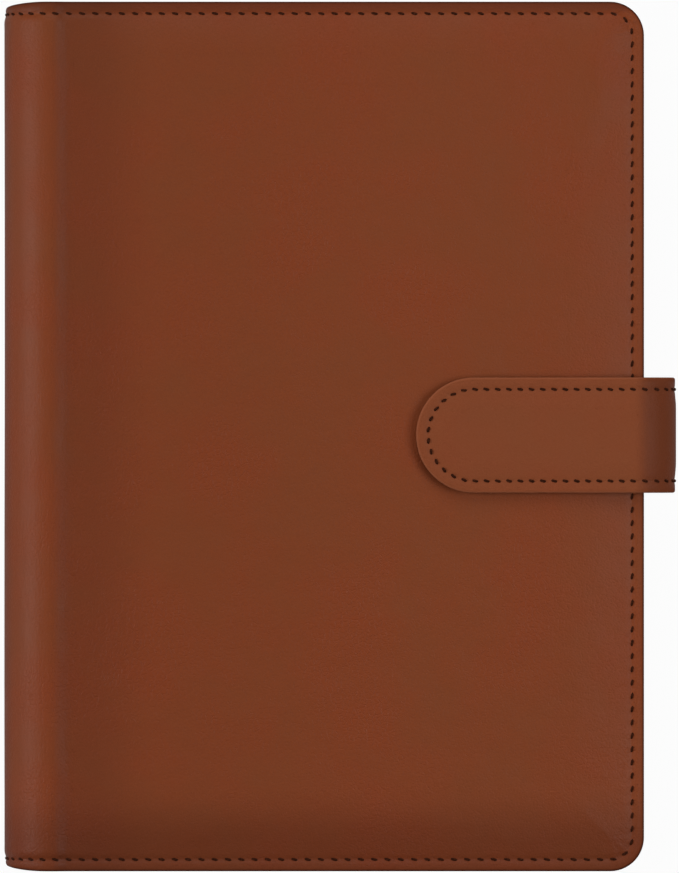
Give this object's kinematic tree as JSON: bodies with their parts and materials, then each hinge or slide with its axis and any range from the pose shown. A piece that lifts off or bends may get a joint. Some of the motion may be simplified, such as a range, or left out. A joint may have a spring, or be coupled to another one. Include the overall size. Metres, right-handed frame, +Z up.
{
  "type": "cash envelope wallet",
  "caption": "Closed ring-binder cash wallet in padded brown synthetic leather, with a stitched closing strap, zip envelopes on rings and card slots inside.",
  "frame": {"origin": "middle of the back cover's outer face, on which the closed wallet lies", "axes": "+Z up through the front cover, +Y to the head, +X from the spine to the fore-edge"},
  "size_m": [0.147, 0.19, 0.0388],
  "materials": {
    "outer_leather": "brown synthetic leather, fine grain, satin",
    "strap_lining": "brown synthetic leather, satin",
    "inner_leather": "brown synthetic leather, satin",
    "padding": "closed-cell foam sheet",
    "board": "grey board",
    "lining": "dark brown woven lining",
    "ring_steel": "nickel plated steel",
    "magnet": "plated disc magnet",
    "keeper_steel": "steel disc",
    "film": "clear flexible film",
    "zip_tape": "white zip tape and teeth",
    "zip_metal": "plated zinc",
    "paper": "uncoated paper"
  },
  "bodies": {
    "back_cover": {"back_cover_leather": "outer_leather", "back_cover_padding": "padding", "back_cover_board": "board", "back_cover_lining": "lining", "back_slip_pocket": "inner_leather", "strap_root": "outer_leather"},
    "spine": {"spine_leather": "outer_leather", "spine_board": "board", "spine_lining": "lining", "ring_housing": "ring_steel", "housing_rivet_tail": "ring_steel", "housing_rivet_head": "ring_steel"},
    "front_cover": {"front_cover_leather": "outer_leather", "front_cover_padding": "padding", "front_cover_board": "board", "front_cover_lining": "lining", "strap_keeper_disc": "keeper_steel", "front_card_slot_1": "inner_leather", "front_card_slot_2": "inner_leather", "front_card_slot_3": "inner_leather"},
    "strap": {"strap_leather": "outer_leather", "strap_lining": "strap_lining", "strap_magnet": "magnet"},
    "upper_rings": {"upper_blade": "ring_steel", "upper_half_ring_1": "ring_steel", "upper_half_ring_2": "ring_steel", "upper_half_ring_3": "ring_steel", "upper_half_ring_4": "ring_steel", "upper_half_ring_5": "ring_steel", "upper_half_ring_6": "ring_steel"},
    "lower_rings": {"lower_blade": "ring_steel", "lower_half_ring_1": "ring_steel", "lower_half_ring_2": "ring_steel", "lower_half_ring_3": "ring_steel", "lower_half_ring_4": "ring_steel", "lower_half_ring_5": "ring_steel", "lower_half_ring_6": "ring_steel"},
    "contents": {"envelope_1": "film", "envelope_1_zip": "zip_tape", "envelope_2": "film", "envelope_2_zip": "zip_tape", "envelope_3": "film", "envelope_3_zip": "zip_tape", "envelope_4": "film", "envelope_4_zip": "zip_tape", "envelope_5": "film", "envelope_5_zip": "zip_tape", "budget_sheets": "paper"},
    "slider_1": {"envelope_1_slider": "zip_metal", "envelope_1_pull": "zip_metal"},
    "slider_2": {"envelope_2_slider": "zip_metal", "envelope_2_pull": "zip_metal"},
    "slider_3": {"envelope_3_slider": "zip_metal", "envelope_3_pull": "zip_metal"},
    "slider_4": {"envelope_4_slider": "zip_metal", "envelope_4_pull": "zip_metal"},
    "slider_5": {"envelope_5_slider": "zip_metal", "envelope_5_pull": "zip_metal"}
  },
  "joints": [
    {"name": "spine_hinge", "type": "hinge", "parent": "back_cover", "child": "spine", "pos_m": [-0.06764, 0, 0.00236], "axis": [0, -1, 0], "range_deg": [0, 90]},
    {"name": "front_cover_hinge", "type": "hinge", "parent": "spine", "child": "front_cover", "pos_m": [-0.06764, 0, 0.03364], "axis": [0, -1, 0], "range_deg": [0, 90]},
    {"name": "contents_level", "type": "hinge", "parent": "spine", "child": "contents", "pos_m": [-0.052, 0, 0.018], "axis": [0, -1, 0], "range_deg": [-90, 0]},
    {"name": "strap_bend", "type": "hinge", "parent": "back_cover", "child": "strap", "pos_m": [0.07455, 0, 0.0038], "axis": [0, 1, 0], "range_deg": [0, 90]},
    {"name": "upper_rings_open", "type": "hinge", "parent": "spine", "child": "upper_rings", "pos_m": [-0.0652, 0, 0.02555], "axis": [0, -1, 0], "range_deg": [0, 8]},
    {"name": "lower_rings_open", "type": "hinge", "parent": "spine", "child": "lower_rings", "pos_m": [-0.0652, 0, 0.01045], "axis": [0, 1, 0], "range_deg": [0, 8]},
    {"name": "zip_1_slide", "type": "slide", "parent": "contents", "child": "slider_1", "axis": [0, -1, 0], "range_m": [0, 0.138]},
    {"name": "zip_2_slide", "type": "slide", "parent": "contents", "child": "slider_2", "axis": [0, -1, 0], "range_m": [0, 0.138]},
    {"name": "zip_3_slide", "type": "slide", "parent": "contents", "child": "slider_3", "axis": [0, -1, 0], "range_m": [0, 0.138]},
    {"name": "zip_4_slide", "type": "slide", "parent": "contents", "child": "slider_4", "axis": [0, -1, 0], "range_m": [0, 0.138]},
    {"name": "zip_5_slide", "type": "slide", "parent": "contents", "child": "slider_5", "axis": [0, -1, 0], "range_m": [0, 0.138]}
  ],
  "couplings": [
    {"joint": "contents_level", "follows": "spine_hinge", "ratio": -1},
    {"joint": "lower_rings_open", "follows": "upper_rings_open", "ratio": 1}
  ]
}
